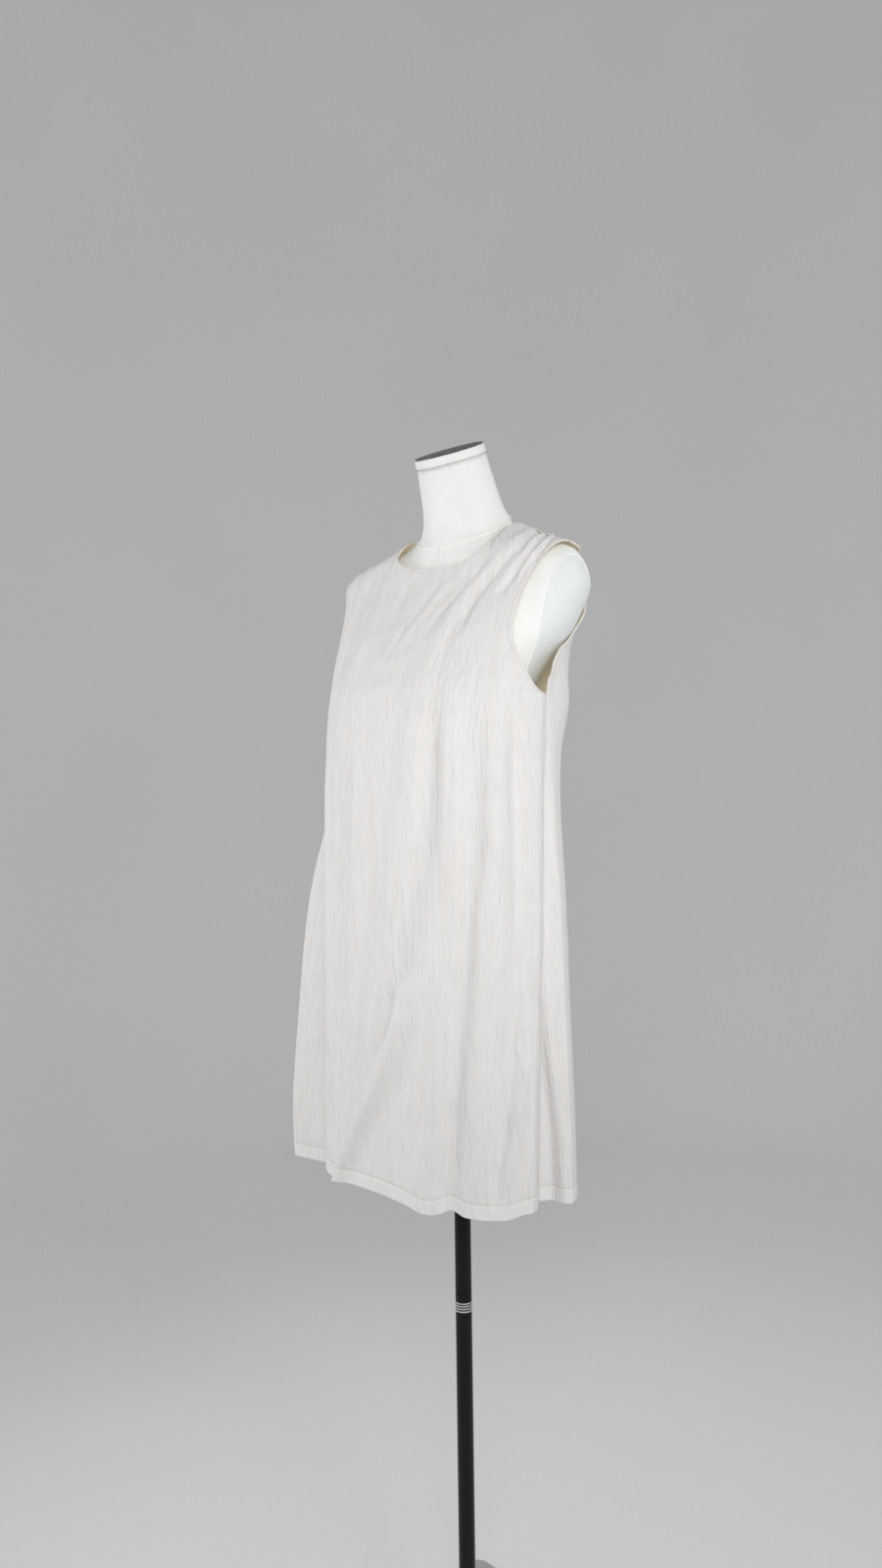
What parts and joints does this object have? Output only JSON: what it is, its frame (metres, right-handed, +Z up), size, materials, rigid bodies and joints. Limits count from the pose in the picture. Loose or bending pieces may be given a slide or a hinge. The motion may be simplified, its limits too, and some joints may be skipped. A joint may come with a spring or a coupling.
{
  "type": "pleated dress on a dress form",
  "caption": "Sleeveless crinkle-pleated A-line dress standing on a limbless dress form with a tilted neck cap, on a pole with a ringed joint and a flat square plate.",
  "frame": {"origin": "under the middle of the base plate, at floor level, on the pole's axis", "axes": "+Z up along the pole, -Y the way the front of the dress faces, +X the wearer's left"},
  "size_m": [0.4764, 0.4168, 1.6397],
  "materials": {
    "cloth": "matte, finely crinkled along its length, off-white",
    "tape": "matte narrow binding of the same cloth",
    "cover": "smooth stretched white jersey",
    "dark_metal": "near-black, semi-gloss",
    "bright_metal": "polished rings",
    "plate_metal": "satin"
  },
  "bodies": {
    "root": {"dress_front": "cloth", "dress_back": "cloth", "neck_binding": "tape", "armhole_binding_left": "tape", "armhole_binding_right": "tape", "form_body": "cover", "neck_cap": "cover", "form_socket": "dark_metal", "pole_upper": "dark_metal", "joint_sleeve": "dark_metal", "joint_rings": "bright_metal", "pole_lower": "dark_metal", "base_plate": "plate_metal"}
  },
  "joints": []
}
